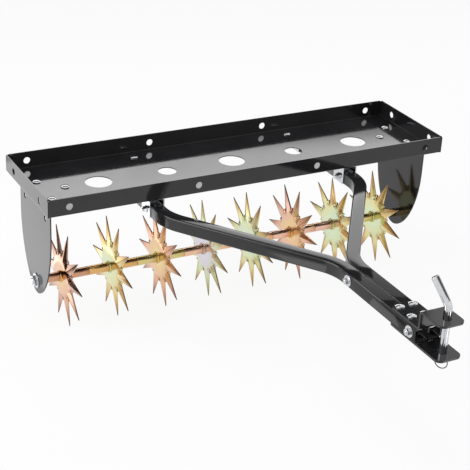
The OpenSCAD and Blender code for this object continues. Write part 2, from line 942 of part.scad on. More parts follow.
// A round-head bolt that hangs down from z = 0, with a square neck of the given depth.
// Its head is a low dome over a straight rim.
module dome_bolt(neck, length) {
    cap_h = dome_h - dome_rim;
    sphere_r = (pow(dome_d / 2, 2) + pow(cap_h, 2)) / (2 * cap_h);
    rotate_extrude()
        intersection() {
            translate([0, dome_h - sphere_r])
                circle(sphere_r, $fn = 96);
            square([dome_d / 2, dome_h]);
        }
    if (neck > 0)
        translate([-bolt_r, -bolt_r, -neck])
            cube([bolt_d, bolt_d, neck]);
    translate([0, 0, -length])
        bolt_shank(length);
}

module bolt_shank(length) {
    chamfer = bolt_r / 6;
    rotate_extrude()
        polygon([
            [0, 0],
            [bolt_r - chamfer, 0],
            [bolt_r, chamfer],
            [bolt_r, length],
            [0, length]]);
}

// A hex bolt along X that grips what lies between -half and half, with its head at +half
module cross_bolt(half, nut_side) {
    translate([half, 0, 0])
        rotate([0, 90, 0])
            hex_block(nut_w, hex_h);
    translate([-half - nut_side - bolt_proud, 0, 0])
        rotate([0, 90, 0])
            bolt_shank(2 * half + nut_side + bolt_proud);
}

module cross_nut(half) {
    translate([-half, 0, 0])
        rotate([0, -90, 0])
            bolt_nut();
}

module at_plate_bolts() {
    on_both_sides()
        for (at = plate_bolt_spots)
            translate([at.x, at.y, 0])
                children();
}

module plate_bolts() {
    color(bright_zinc)
        from_tray()
            at_plate_bolts()
                translate([0, 0, sheet_t])
                    dome_bolt(sheet_t, sheet_t + plate_t + washer_t + nut_h + bolt_proud);
}

module plate_washers() {
    color(bright_zinc)
        from_tray()
            at_plate_bolts()
                translate([0, 0, -plate_t - washer_t])
                    washer(small_washer_d, bolt_hole_r, washer_t);
}

module plate_nuts() {
    color(bright_zinc)
        from_tray()
            at_plate_bolts()
                translate([0, 0, -plate_t - washer_t])
                    mirror([0, 0, 1])
                        bolt_nut();
}

module bracket_bolts() {
    color(bright_zinc)
        from_tray()
            on_both_sides()
                translate([arm_x, -bracket_y, sheet_t])
                    dome_bolt(sheet_t, sheet_t + bracket_t + nut_h + bolt_proud);
}

module bracket_nuts() {
    color(bright_zinc)
        from_tray()
            on_both_sides()
                translate([arm_x, -bracket_y, -bracket_t])
                    mirror([0, 0, 1])
                        bolt_nut();
}

module at_bracket_cross() {
    for (side = [-1, 1])
        translate([side * arm_x, -bracket_y, arm_mid_z])
            children();
}

module bracket_cross_bolts() {
    color(bright_zinc)
        from_tray()
            at_bracket_cross()
                cross_bolt(bracket_out + washer_t, nut_h);
}

module bracket_cross_washers() {
    color(bright_zinc)
        from_tray()
            at_bracket_cross()
                on_both_sides()
                    translate([bracket_out, 0, 0])
                        rotate([0, 90, 0])
                            washer(small_washer_d, bolt_hole_r, washer_t);
}

module bracket_cross_nuts() {
    color(bright_zinc)
        from_tray()
            at_bracket_cross()
                cross_nut(bracket_out + washer_t);
}

module rear_bolts() {
    color(bright_zinc)
        from_tray()
            on_both_sides()
                translate([rear_bolt_x, rear_y, sheet_t])
                    dome_bolt(sheet_t, sheet_t + bracket_t + nut_h + bolt_proud);
}

module rear_nuts() {
    color(bright_zinc)
        from_tray()
            on_both_sides()
                translate([rear_bolt_x, rear_y, -bracket_t])
                    mirror([0, 0, 1])
                        bolt_nut();
}

// The angle stands on one side of the arm only, so the bolt's grip is not centred on the arm
module at_rear_cross() {
    on_both_sides()
        translate([arm_x - bracket_t / 2, rear_y, arm_mid_z])
            children();
}

module rear_cross_bolts() {
    color(bright_zinc)
        from_tray()
            at_rear_cross()
                cross_bolt((arm_size + bracket_t) / 2, nut_h);
}

module rear_cross_nuts() {
    color(bright_zinc)
        from_tray()
            at_rear_cross()
                cross_nut((arm_size + bracket_t) / 2);
}

module at_strap_bolts(z) {
    for (side = [-1, 1], y = strap_bolt_ys)
        translate([side * strap_bolt_x, -y, z])
            children();
}

module strap_bolts() {
    color(bright_zinc)
        from_tray()
            at_strap_bolts(-arm_drop + strap_t)
                dome_bolt(0, arm_size + 2 * strap_t + nut_h + bolt_proud);
}

module strap_nuts() {
    color(bright_zinc)
        from_tray()
            at_strap_bolts(strap_low_z)
                mirror([0, 0, 1])
                    bolt_nut();
}

module at_joint_bolts() {
    for (y = joint_ys)
        translate([0, -y, arm_mid_z])
            children();
}

joint_half = arm_size + arm_gap / 2;

module joint_bolts() {
    color(bright_zinc)
        from_tray()
            at_joint_bolts()
                cross_bolt(joint_half + washer_t, nut_h);
}

module joint_washers() {
    color(bright_zinc)
        from_tray()
            at_joint_bolts()
                on_both_sides()
                    translate([joint_half, 0, 0])
                        rotate([0, 90, 0])
                            washer(washer_d, bolt_hole_r, washer_t);
}

module joint_nuts() {
    color(bright_zinc)
        from_tray()
            at_joint_bolts()
                cross_nut(joint_half + washer_t);
}

tray();
end_plate_left();
end_plate_right();
axle_rod();
axle_washers();
axle_nuts();
for (i = [1:star_count]) {
    hub_tube(i);
    star_left_half(i);
    star_right_half(i);
}
drawbar_arm_left();
drawbar_arm_right();
front_bracket_left();
front_bracket_right();
rear_angle_left();
rear_angle_right();
hitch_top_strap();
hitch_bottom_strap();
hitch_pin();
pin_ring();
plate_bolts();
plate_washers();
plate_nuts();
bracket_bolts();
bracket_nuts();
bracket_cross_bolts();
bracket_cross_nuts();
bracket_cross_washers();
rear_bolts();
rear_nuts();
rear_cross_bolts();
rear_cross_nuts();
strap_bolts();
strap_nuts();
joint_bolts();
joint_washers();
joint_nuts();
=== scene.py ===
# %% [markdown]
# # Tow behind aerator
#
# A lawn tractor pulls this machine. The tray on top takes bricks or sandbags, and their
# weight presses eight spiked stars into the turf, which rolls them round on their axle.
#
# The solids come from a CAD model that is already packed. This lesson loads them, gives
# them finishes, and swaps the parts that a sheet metal press or a tube bender makes for
# finer surfaces worked out with numpy. Everything is in metres. X runs along the tray,
# -Y points to the hitch and +Z is up.

import math

import bpy
import numpy as np
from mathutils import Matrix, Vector


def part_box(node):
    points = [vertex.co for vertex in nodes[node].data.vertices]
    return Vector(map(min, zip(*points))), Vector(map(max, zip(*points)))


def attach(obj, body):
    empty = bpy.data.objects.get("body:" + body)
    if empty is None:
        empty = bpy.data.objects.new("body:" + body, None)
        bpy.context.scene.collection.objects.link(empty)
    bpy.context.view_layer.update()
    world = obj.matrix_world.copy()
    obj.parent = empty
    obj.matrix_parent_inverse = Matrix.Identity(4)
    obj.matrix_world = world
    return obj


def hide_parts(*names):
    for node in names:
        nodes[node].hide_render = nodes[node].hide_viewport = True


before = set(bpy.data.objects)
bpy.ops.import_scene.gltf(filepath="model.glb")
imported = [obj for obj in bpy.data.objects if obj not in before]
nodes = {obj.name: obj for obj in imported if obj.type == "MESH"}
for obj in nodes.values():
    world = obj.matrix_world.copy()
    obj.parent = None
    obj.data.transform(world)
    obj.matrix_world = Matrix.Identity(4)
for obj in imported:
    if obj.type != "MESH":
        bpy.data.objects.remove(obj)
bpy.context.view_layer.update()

# %% [markdown]
# ## Where things are
#
# Each new surface must sit exactly where its CAD solid is. So no place is typed twice:
# the places are read from the boxes of the CAD nodes, and only shapes that a box can't
# tell, such as a bend's radius, are named here as lengths.

# %% Places taken from the CAD boxes
mm = 0.001
star_numbers = range(1, 9)
tray_front_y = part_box("tray")[0].y
rod_low, rod_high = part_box("axle_rod")
axle_y = (rod_low.y + rod_high.y) / 2
axle_z = (rod_low.z + rod_high.z) / 2
rod_radius = (rod_high.z - rod_low.z) / 2
print("axle at y", round(axle_y, 4), "z", round(axle_z, 4), "rod radius", round(rod_radius, 5))

# %% [markdown]
# ## A grid of points becomes a mesh
#
# Tubes, rings and pressed shells with a hole in the middle all have the same topology as
# a ring doughnut: rows of points that close on themselves one way, and columns that close
# on themselves the other way. One helper joins such a grid into quads. It works out the
# volume from the quads, and turns them round if it comes out negative, so the faces
# always point outwards.

# %% Closed grid helper


def placed(name, data):
    """A new object that holds a mesh, a lamp or a camera, put into the scene."""
    thing = bpy.data.objects.new(name, data)
    bpy.context.scene.collection.objects.link(thing)
    return thing


def closed_grid(name, grid):
    """A mesh from rows by columns of points. Each quad joins a point to its next in the
    row, the next in the column and the one across, and both ways wrap round. The volume
    is a sum over the quads' triangles: one corner crossed with the second, dotted with
    the third, over six."""
    rows, columns = grid.shape[:2]
    number = np.arange(rows * columns).reshape(rows, columns)
    beside = np.roll(number, -1, axis=1)
    below = np.roll(number, -1, axis=0)
    quads = np.stack([number, beside, np.roll(beside, -1, axis=0), below], -1).reshape(-1, 4)
    points = grid.reshape(-1, 3)
    a, b, c, d = (points[quads[:, i]] for i in range(4))
    volume = (np.cross(a, b) * c).sum() / 6 + (np.cross(a, c) * d).sum() / 6
    if volume < 0:
        quads = quads[:, ::-1]
    mesh = bpy.data.meshes.new(name)
    mesh.from_pydata(points.tolist(), [], quads.tolist())
    mesh.polygons.foreach_set("use_smooth", np.ones(len(quads), dtype=bool))
    mesh.update()
    print(name, len(quads), "quads,", round(abs(volume) * 1e6, 2), "cm3")
    return placed(name, mesh)


def add_float(piece, name, values):
    """Stores one number per point of the grid, for a material to read."""
    layer = piece.data.attributes.new(name, "FLOAT", "POINT")
    layer.data.foreach_set("value", np.asarray(values, dtype=np.float32).ravel())


# %% [markdown]
# ## The outline of a tine
#
# A star is cut from sheet as ten long triangles round a disc, with a small tab left
# standing in each valley. Both pressed halves share that outline. One half of a tine is
# described by columns: the first runs along the ridge to the point, and the last one runs
# to the middle of the tab in the valley. They are crowded near the ridge and the valley,
# where the form changes fastest.

# %% Tine outline
tines = 10
half_step = math.pi / tines
tine_tip = 119.8 * mm
valley_floor = 53 * mm
tab_tip = 62 * mm
tab_width = 5 * mm
corner_angle = half_step - math.asin(tab_width / 2 / valley_floor)
tab_angle = half_step - math.asin(tab_width / 2 / tab_tip)
corner = np.array([valley_floor * math.cos(corner_angle), valley_floor * math.sin(corner_angle)])
tip = np.array([tine_tip, 0.0])

# Each column meets the straight edge at its share of the way from the point to the corner
edge_shares = np.array([0, 0.03, 0.08, 0.15, 0.24, 0.34, 0.45, 0.56, 0.67, 0.78, 0.88, 0.95, 1])
edge_points = tip + edge_shares[:, None] * (corner - tip)
tab_points = tab_tip * np.array(
    [[math.cos(tab_angle), math.sin(tab_angle)], [math.cos(half_step), math.sin(half_step)]]
)
outline_half = np.vstack([edge_points, tab_points])
body_angles_half = np.append(edge_shares * corner_angle, [tab_angle, half_step])

# The other half is its mirror image, without the ridge and the middle of the valley
mirrored = slice(-2, 0, -1)
outline = np.vstack([outline_half[mirrored] * [1, -1], outline_half])
body_angles = np.append(-body_angles_half[mirrored], body_angles_half)
edge_lean = math.atan2(corner[1], tine_tip - corner[0])
print("one tine has", len(outline), "columns")
print("its edge leans", round(math.degrees(edge_lean), 1), "degrees from its ridge")

# %% [markdown]
# ## The pressed face of a star half
#
# The press lifts a round, puffy body with a wide rolled shoulder, and a roof-shaped ridge
# on each tine. The roof's two sides are flat: their height over the edge grows with the
# distance from the edge, until the roof's top. Where the roof meets the shoulder, the two
# heights are blended by a smooth maximum, which gives the teardrop ends of the ridges.

# %% Height of the pressed face
body_radius = 53 * mm
shoulder = 20 * mm
body_height = 6.5 * mm
hub_height = 7.5 * mm
edge_gauge = 1.8 * mm
point_gauge = 0.8 * mm
roof_slope = 0.30
roof_top = 4.2 * mm
ridge_round = 0.5 * mm
blend = 0.5 * mm


def face_height(along, across):
    """Height over the middle plane at a point of a tine's own frame. It is the gauge at
    the edge plus the smooth maximum of two forms: a disc, whose shoulder falls as a
    quarter circle, and a roof, whose height is its slope times the distance from the
    tine's straight edge, up to its top. The disc's crown rises to the hub by the root of
    the nearness. The ridge is rounded: the distance from it is the root of its own square
    plus the rounding's square, less the rounding."""
    radius = np.hypot(along, across)
    off_ridge = np.hypot(across, ridge_round) - ridge_round
    inside = (tine_tip - along) * math.sin(edge_lean) - off_ridge * math.cos(edge_lean)
    to_corner = np.clip((tine_tip - along) / (tine_tip - corner[0]), 0, 1)
    edge = point_gauge + (edge_gauge - point_gauge) * to_corner
    roof = np.minimum(roof_slope * np.maximum(inside, 0), roof_top)
    fall = np.clip((radius - body_radius + shoulder) / shoulder, 0, 1)
    crown = body_height + (hub_height - body_height) * np.clip(1 - radius / body_radius, 0, 1) ** 0.5
    disc = (crown - edge) * np.sqrt(np.clip(1 - fall**2, 0, 1))
    lifted = np.maximum(roof, disc) + blend / 4 * np.clip(1 - np.abs(roof - disc) / blend, 0, 1) ** 2
    return edge + np.where(inside > 0, lifted, disc)


halfway = (valley_floor + tine_tip) / 2
print("ridge height halfway along a tine:", round(float(face_height(halfway, 0.0)) / mm, 2), "mm")

# %% [markdown]
# ## The rows of one tine
#
# Each column of the grid goes once round the sheet: up the collar, over the face to the
# outline, round the cut edge, and back along the inner face to the bore. One tine is
# worked out in its own frame first, because all ten tines of a star are alike.

# %% Rows of one tine
collar_bore = 10.7 * mm
collar_radius = 13.7 * mm
collar_length = 4 * mm
collar_round = 0.7 * mm
fillet = 2 * mm
fillet_turns = np.radians([90, 60, 30, 0])
sheet = 1.8 * mm
edge_round = 0.12 * mm
edge_inset = 0.15 * mm
body_rows = np.array([16, 18, 21, 25, 29, 33, 37, 40]) * mm
tine_row_count = 18
tine_row_crowding = 1.35
tine_rows = np.linspace(0, 1, tine_row_count + 1)[1:] ** tine_row_crowding


def star_rows():
    """Places (along and across) and levels of one tine's grid, rows by columns. A row of
    the body is a circle: its radius times each column's direction. A row of the tines is
    the body's last circle plus a share of the way from there to the outline."""
    direction = np.stack([np.cos(body_angles), np.sin(body_angles)], -1)
    circles = body_rows[:, None, None] * direction
    way_out = circles[-1] + tine_rows[:, None, None] * (outline - circles[-1])
    face = np.concatenate([circles, way_out])
    face_level = face_height(face[..., 0], face[..., 1])
    inner_level = np.maximum(face_level - sheet, 0)

    top = hub_height + collar_length
    base = float(face_level[0].mean())
    collar = [(collar_bore, top - collar_round), (collar_bore + collar_round, top)]
    collar += [(collar_radius - collar_round, top), (collar_radius, top - collar_round)]
    for turn in fillet_turns:
        across_fillet, over_fillet = fillet * (1 - math.sin(turn)), fillet * (1 - math.cos(turn))
        collar.append((collar_radius + across_fillet, base + over_fillet))

    cut_edge = face[-1]
    edge_in = cut_edge * (1 - edge_inset / np.hypot(*cut_edge.T)[:, None])
    places = [radius * direction for radius, _ in collar]
    places += [*face[:-1], edge_in, cut_edge, cut_edge, edge_in, *face[-2::-1]]
    places.append(collar_bore * direction)
    levels = [np.full(len(direction), level) for _, level in collar]
    levels += [*face_level, face_level[-1] - edge_round, inner_level[-1] + edge_round]
    levels += [*inner_level[::-1], np.full(len(direction), base - sheet)]
    return np.array(places), np.array(levels)


tine_places, tine_levels = star_rows()
print("a star half has", tine_levels.shape[0], "rows and", tines * len(outline), "columns")

# %% [markdown]
# ## Sixteen star halves
#
# Ten turned copies of the tine's rows stand side by side round the axle, and a star's left
# half is the right one mirrored in its middle plane. The turn of each star is read from
# its CAD solid, so both stay together. Three numbers are kept for the finish: reach is 0
# at the axle and 1 at a point, film is the star's own plating colour, and the third is a
# painted shade, 1 on the side of each ridge that faces backwards, away from the hitch, as
# the star stands at rest, in place of the dark surroundings that those sides mirror.

# %% Star halves
half_gap = 0.1 * mm
star_films = [0.46, 0.08, 0.36, -0.14, 0.00, 0.40, 0.02, 0.08]
# Where the painted shade on the backward-facing sides of the tines starts, and how far out it grows to full
# strength
flank_start = 42 * mm
flank_fade = 16 * mm
ridge_fade = 2 * mm


def star_turn(node):
    """The turn round the axle of the CAD star's farthest corner, the point of a tine."""
    solid = nodes[node].data
    corners = np.empty(len(solid.vertices) * 3)
    solid.vertices.foreach_get("co", corners)
    off_axle = corners.reshape(-1, 3)[:, 1:] - [axle_y, axle_z]
    farthest = off_axle[np.hypot(*off_axle.T).argmax()]
    return math.atan2(farthest[1], farthest[0])


def star_half(number, side):
    """Ten tines round the axle. Y is along times the cosine of the tine's turn less
    across times its sine, Z is along times the sine plus across times the cosine, and X
    is the level on this half's side of the star's middle plane."""
    node = f"star_{'right' if side > 0 else 'left'}_half_{number}"
    turns = star_turn(node) + np.arange(tines) * 2 * half_step
    tube_low, tube_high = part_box(f"hub_tube_{number}")
    middle = (tube_low.x + tube_high.x) / 2
    along, across = tine_places[..., 0], tine_places[..., 1]
    cos, sin = np.cos(turns)[None, :, None], np.sin(turns)[None, :, None]
    y = along[:, None] * cos - across[:, None] * sin
    z = along[:, None] * sin + across[:, None] * cos
    x = np.broadcast_to((half_gap / 2 + tine_levels)[:, None], y.shape)
    # Columns run from valley to valley, so that neighbouring tines join up in order
    grid = np.stack([middle + side * x, axle_y + y, axle_z + z], -1).reshape(len(x), -1, 3)
    piece = closed_grid(f"pressed_{node}", grid)
    add_float(piece, "reach", np.hypot(grid[..., 1] - axle_y, grid[..., 2] - axle_z) / tine_tip)
    add_float(piece, "film", np.full(grid.shape[:2], star_films[number - 1]))
    # Painted shade: up to 1 on the side of each ridge that faces backwards, by the tine's turn, out from
    # the body and fading across the ridge
    off_body = np.clip((np.hypot(along, across) - flank_start) / flank_fade, 0, 1)
    off_ridge = np.clip(across / ridge_fade, -1, 1)
    add_float(piece, "shaded_flank", -(off_ridge * off_body)[:, None] * sin)
    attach(piece, f"star_{number}")
    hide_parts(node)
    return piece


star_halves = [star_half(number, side) for number in star_numbers for side in (-1, 1)]

# %% [markdown]
# ## Hub tubes
#
# Each star is pressed onto a short length of tube that turns on the rod. Its ends are cut
# square and lightly broken, and the thin dark line between two tubes in the photograph is
# where two such ends meet. A tube is a closed profile carried round the axle.

# %% Hub tubes
tube_sides = 96
around = np.linspace(0, 2 * math.pi, tube_sides, endpoint=False)
bore_gap = 0.05 * mm
end_round = 0.5 * mm
round_share = 0.3
tube_films = [0.88, 0.40, 0.20, 0.46, 0.34, 0.49, 0.52, 0.20]
tube_reaches = [0.12, 0.12, 0.12, 0.3, 0.3, 0.3, 0.3, 0.12]


def turned(name, profile):
    """A closed profile of (x, radius) points carried round the axle: y is the radius
    times the cosine of the turn, and z is the radius times its sine."""
    profile = np.array(profile)
    x = np.repeat(profile[:, :1], len(around), 1)
    y = axle_y + profile[:, 1:] * np.cos(around)
    z = axle_z + profile[:, 1:] * np.sin(around)
    return closed_grid(name, np.stack([x, y, z], -1))


def tube_end(x, inwards, bore, outer):
    """The profile of one end, from the bore to the outside, with both corners broken."""
    end = [(x + inwards * end_round, bore), (x, bore + end_round / 2), (x, outer - end_round)]
    end.append((x + inwards * end_round * round_share, outer - end_round * round_share))
    end.append((x + inwards * end_round, outer))
    return end


def hub_tube(number):
    """One star's tube, as long and as thick as its CAD box, close round the rod."""
    node = f"hub_tube_{number}"
    low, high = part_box(node)
    outer = (high.z - low.z) / 2
    bore = rod_radius + bore_gap
    profile = tube_end(low.x, 1, bore, outer) + tube_end(high.x, -1, bore, outer)[::-1]
    piece = turned(f"turned_{node}", profile)
    points = len(piece.data.vertices)
    add_float(piece, "film", np.full(points, tube_films[number - 1]))
    add_float(piece, "reach", np.full(points, tube_reaches[number - 1]))
    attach(piece, f"star_{number}")
    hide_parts(node)
    return piece


hub_tubes = [hub_tube(number) for number in star_numbers]

# %% [markdown]
# ## Drawbar arms
#
# An arm is one square tube, bent in and then straight again on a tube bender. The section
# is a square with round corners, and it is carried along a path of straight stretches and
# arcs. At each place the section is turned to face along the path. The outside runs
# forwards and the bore runs back, so the walls close at the open ends.

# %% Section and path of an arm
arm_wall = 2 * mm
arm_round = 4 * mm
arm_angle = math.radians(35)
arm_bend = 112 * mm
first_corner_reach = 41.5 * mm
bend_steps = 16
corner_steps = 6


def square_section(half, corner_radius):
    """Points round a square with round corners, as sideways and upwards offsets: each
    corner's centre plus the corner radius times the cosine and the sine of a turn that
    grows by a quarter from corner to corner."""
    centres = (half - corner_radius) * np.array([[1, 1], [-1, 1], [-1, -1], [1, -1]])
    turn = np.arange(4)[:, None] * math.pi / 2 + np.linspace(0, math.pi / 2, corner_steps + 1)
    arcs = corner_radius * np.stack([np.cos(turn), np.sin(turn)], -1)
    return (centres[:, None] + arcs).reshape(-1, 2)


def arm_path(low, high, half):
    """The right arm's centre line and the turn of the tube at each place. The tube swings
    inwards along one arc and back along another, and the arcs are joined by a straight.
    On an arc, the way inwards is the radius times one less the cosine of the swing, and
    the way forwards is the radius times its sine."""
    under_x, nose_x = high.x - half, low.x + half
    corner_y = tray_front_y - first_corner_reach
    nose_y = corner_y - (under_x - nose_x) / math.tan(arm_angle)
    tangent = arm_bend * math.tan(arm_angle / 2)
    swing = np.linspace(0, arm_angle, bend_steps + 1)
    inwards, forwards = arm_bend * (1 - np.cos(swing)), arm_bend * np.sin(swing)
    first = np.stack([under_x - inwards, corner_y + tangent - forwards], -1)
    second = np.stack([nose_x + inwards, nose_y - tangent + forwards], -1)[::-1]
    path = np.vstack([[under_x, high.y], first, second, [nose_x, low.y]])
    turns = np.concatenate([[0], -swing, -swing[::-1], [0]])
    return path, turns


arm_low, arm_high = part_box("drawbar_arm_right")
arm_half = (arm_high.z - arm_low.z) / 2
arm_places, arm_turns = arm_path(arm_low, arm_high, arm_half)
print("the arm's path has", len(arm_places), "places; the tube is", round(2 * arm_half / mm, 2), "mm wide")

# %% Drawbar arms


def carried(section):
    """The section at each place of the path: its sideways offset is added to x times the
    cosine of the turn and to y times the sine, and its upwards offset is added to z."""
    x = arm_places[:, :1] + section[:, 0] * np.cos(arm_turns)[:, None]
    y = arm_places[:, 1:] + section[:, 0] * np.sin(arm_turns)[:, None]
    z = np.broadcast_to((arm_low.z + arm_high.z) / 2 + section[:, 1], x.shape)
    return np.stack([x, y, z], -1)


def drawbar_arm(side_name, side):
    """The arm as one closed tube wall. The left arm is the right one mirrored in X."""
    node = f"drawbar_arm_{side_name}"
    outside = carried(square_section(arm_half, arm_round))
    bore = carried(square_section(arm_half - arm_wall, arm_round - arm_wall))
    piece = closed_grid(f"bent_{node}", np.vstack([outside, bore[::-1]]) * [side, 1, 1])
    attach(piece, "frame")
    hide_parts(node)
    return piece


arms = [drawbar_arm("left", -1), drawbar_arm("right", 1)]

# %% [markdown]
# ## Finishes
#
# Four finishes cover the machine: gloss black enamel, bright zinc, a dull spring wire and
# yellow zinc. Each is built from the same few steps, so the steps come first. Each
# pattern is read from the piece's own coordinates, so it stays put when a star rolls.

# %% Material helpers


def new_material(name):
    """A material with a Principled shader, and its coordinates ready for patterns."""
    material = bpy.data.materials.new(name)
    material.use_nodes = True
    tree = material.node_tree
    shader = tree.nodes["Principled BSDF"]
    where = tree.nodes.new("ShaderNodeTexCoord").outputs["Object"]
    return material, tree, shader, where


def noise(tree, where, per_metre, detail=3.0, distortion=0.0):
    """Cloudy noise with so many lumps to the metre."""
    node = tree.nodes.new("ShaderNodeTexNoise")
    node.inputs["Scale"].default_value = per_metre
    node.inputs["Detail"].default_value = detail
    node.inputs["Distortion"].default_value = distortion
    tree.links.new(where, node.inputs["Vector"])
    return node.outputs["Fac"]


def ramp(tree, factor, stops):
    """Turns a number into a colour by way of (position, colour) stops."""
    node = tree.nodes.new("ShaderNodeValToRGB")
    while len(node.color_ramp.elements) < len(stops):
        node.color_ramp.elements.new(0.5)
    for element, (position, colour) in zip(node.color_ramp.elements, stops):
        element.position = position
        element.color = (*colour, 1)
    tree.links.new(factor, node.inputs["Fac"])
    return node.outputs["Color"]


def patchy(tree, clouds, dark, pale):
    """One colour where the clouds are thin, the other where they are thick."""
    return ramp(tree, clouds, [(0.3, dark), (0.7, pale)])


def grey(level):
    """The same level of red, green and blue."""
    return (level,) * 3


def spread(tree, factor, low, high):
    """Carries a number from 0..1 to low..high."""
    node = tree.nodes.new("ShaderNodeMapRange")
    node.inputs["To Min"].default_value = low
    node.inputs["To Max"].default_value = high
    tree.links.new(factor, node.inputs["Value"])
    return node.outputs["Result"]


def bump(tree, height, shader, strength, distance):
    """Fine relief that only bends the light, for lumps too small to build."""
    node = tree.nodes.new("ShaderNodeBump")
    node.inputs["Strength"].default_value = strength
    node.inputs["Distance"].default_value = distance
    tree.links.new(height, node.inputs["Height"])
    tree.links.new(node.outputs["Normal"], shader.inputs["Normal"])


# %% [markdown]
# ## Gloss black enamel
#
# The tray, plates, drawbar and straps are dipped and baked. Nearly all that is seen of
# such a surface is what it mirrors, so its own colour is almost black, and very small
# lumps give it the faint orange-peel look of stoved paint.

# %% Gloss black enamel


def black_enamel():
    """Near-black colour in wide clouds, a low roughness and a fine orange-peel bump."""
    material, tree, shader, where = new_material("gloss_black_enamel")
    clouds = noise(tree, where, per_metre=9)
    colour = patchy(tree, clouds, dark=(0.010, 0.010, 0.011), pale=(0.018, 0.018, 0.020))
    tree.links.new(colour, shader.inputs["Base Color"])
    roughness = spread(tree, noise(tree, where, per_metre=40), low=0.06, high=0.12)
    tree.links.new(roughness, shader.inputs["Roughness"])
    peel = noise(tree, where, per_metre=420, detail=1.0)
    bump(tree, peel, shader, strength=0.05, distance=0.2 * mm)
    return material


enamel = black_enamel()
print("made", enamel.name)

# %% [markdown]
# ## Bright zinc and spring wire
#
# Bolts, nuts, washers, brackets and the hitch pin have bright zinc plating, a pale grey
# metal with soft patches. The pin's ring is bare spring wire, which is darker and duller.
# Both are metals, so the base colour tints what they mirror.

# %% Bright zinc and spring wire


def bright_zinc():
    """Pale grey metal in small soft patches, nearly as smooth as a mirror."""
    material, tree, shader, where = new_material("bright_zinc_plating")
    shader.inputs["Metallic"].default_value = 1.0
    patches = noise(tree, where, per_metre=160, detail=4.0)
    colour = patchy(tree, patches, dark=(0.57, 0.58, 0.60), pale=(0.68, 0.69, 0.70))
    tree.links.new(colour, shader.inputs["Base Color"])
    roughness = spread(tree, noise(tree, where, per_metre=90), low=0.08, high=0.16)
    tree.links.new(roughness, shader.inputs["Roughness"])
    grain = noise(tree, where, per_metre=700, detail=1.0)
    bump(tree, grain, shader, strength=0.02, distance=0.1 * mm)
    return material


def spring_wire():
    """Dark grey metal with a dull surface."""
    material, tree, shader, where = new_material("dull_spring_wire")
    shader.inputs["Metallic"].default_value = 1.0
    colour = patchy(tree, noise(tree, where, per_metre=300), dark=grey(0.10), pale=grey(0.20))
    tree.links.new(colour, shader.inputs["Base Color"])
    roughness = spread(tree, noise(tree, where, per_metre=200), low=0.3, high=0.45)
    tree.links.new(roughness, shader.inputs["Roughness"])
    return material


zinc = bright_zinc()
wire = spring_wire()
print("made", zinc.name, "and", wire.name)

# %% [markdown]
# ## Yellow zinc
#
# The stars and their tubes have a thin clear film on their zinc, which shows lilac, green,
# straw, orange, pink and brown as it gets thicker, as oil on water does. So the material
# works out a thickness, and looks its hue up on a ramp. The thickness is the piece's own
# film plus clouds, and it grows towards the points, where the bath runs off last. Two
# tints are then laid over the hue: a tone that is brown at the collar and darker out along
# the tine, and a painted shade on the side of each ridge that faces backwards.

# %% Yellow zinc
film_hues = [
    (0.00, (0.72, 0.68, 0.75)),
    (0.14, (0.70, 0.82, 0.56)),
    (0.30, (0.84, 0.78, 0.42)),
    (0.45, (0.84, 0.61, 0.31)),
    (0.60, (0.85, 0.54, 0.38)),
    (0.75, (0.77, 0.50, 0.44)),
    (0.95, (0.48, 0.30, 0.17)),
]
cloud_share = 0.42
reach_share = 0.46

# Brown at the collar, clear over the body, then duller and darker out to the point
collar_tone = [(0.0, (0.75, 0.55, 0.30)), (0.115, (0.80, 0.62, 0.38)), (0.14, (1, 1, 1))]
tine_darkening = [(0.58, (0.92, 0.87, 0.80)), (0.78, (0.62, 0.53, 0.44)), (0.97, (0.28, 0.24, 0.20))]
# Painted shade for the backward-facing side of each ridge: white where it is 0, brown where it is full
painted_flank_shade = [(0.0, (1, 1, 1)), (0.8, (0.66, 0.48, 0.30))]


def value_of(tree, name):
    """A number that the mesh keeps for its points."""
    node = tree.nodes.new("ShaderNodeAttribute")
    node.attribute_name = name
    return node.outputs["Fac"]


def sum_of(tree, a, b, share):
    """a plus a share of b."""
    node = tree.nodes.new("ShaderNodeMath")
    node.operation = "MULTIPLY_ADD"
    tree.links.new(b, node.inputs[0])
    node.inputs[1].default_value = share
    tree.links.new(a, node.inputs[2])
    return node.outputs[0]


def tinted(tree, colour, tint):
    """One colour laid over another like a stained glass."""
    mix = tree.nodes.new("ShaderNodeMix")
    mix.data_type = "RGBA"
    mix.blend_type = "MULTIPLY"
    mix.inputs["Factor"].default_value = 1.0
    tree.links.new(colour, mix.inputs["A"])
    tree.links.new(tint, mix.inputs["B"])
    return mix.outputs["Result"]


def yellow_zinc():
    """Metal whose hue is that of its film's thickness, with a tone along the tine and a painted shade on
    the back side of each ridge laid over.
    """
    material, tree, shader, where = new_material("yellow_zinc_plating")
    shader.inputs["Metallic"].default_value = 1.0
    reach = value_of(tree, "reach")
    clouds = noise(tree, where, per_metre=16, detail=2.0, distortion=0.8)
    thickness = sum_of(tree, value_of(tree, "film"), clouds, cloud_share)
    thickness = sum_of(tree, thickness, reach, reach_share)
    colour = ramp(tree, spread(tree, thickness, low=-0.2, high=0.8), film_hues)
    colour = tinted(tree, colour, ramp(tree, reach, collar_tone + tine_darkening))
    # Painted shade: the side of each ridge that faces backwards is darkened towards brown
    colour = tinted(tree, colour, ramp(tree, value_of(tree, "shaded_flank"), painted_flank_shade))
    tree.links.new(colour, shader.inputs["Base Color"])
    roughness = spread(tree, noise(tree, where, per_metre=60), low=0.12, high=0.24)
    tree.links.new(roughness, shader.inputs["Roughness"])
    grain = noise(tree, where, per_metre=500, detail=1.0)
    bump(tree, grain, shader, strength=0.06, distance=0.1 * mm)
    return material


yellow = yellow_zinc()
print("made", yellow.name, "with", len(film_hues), "hues")

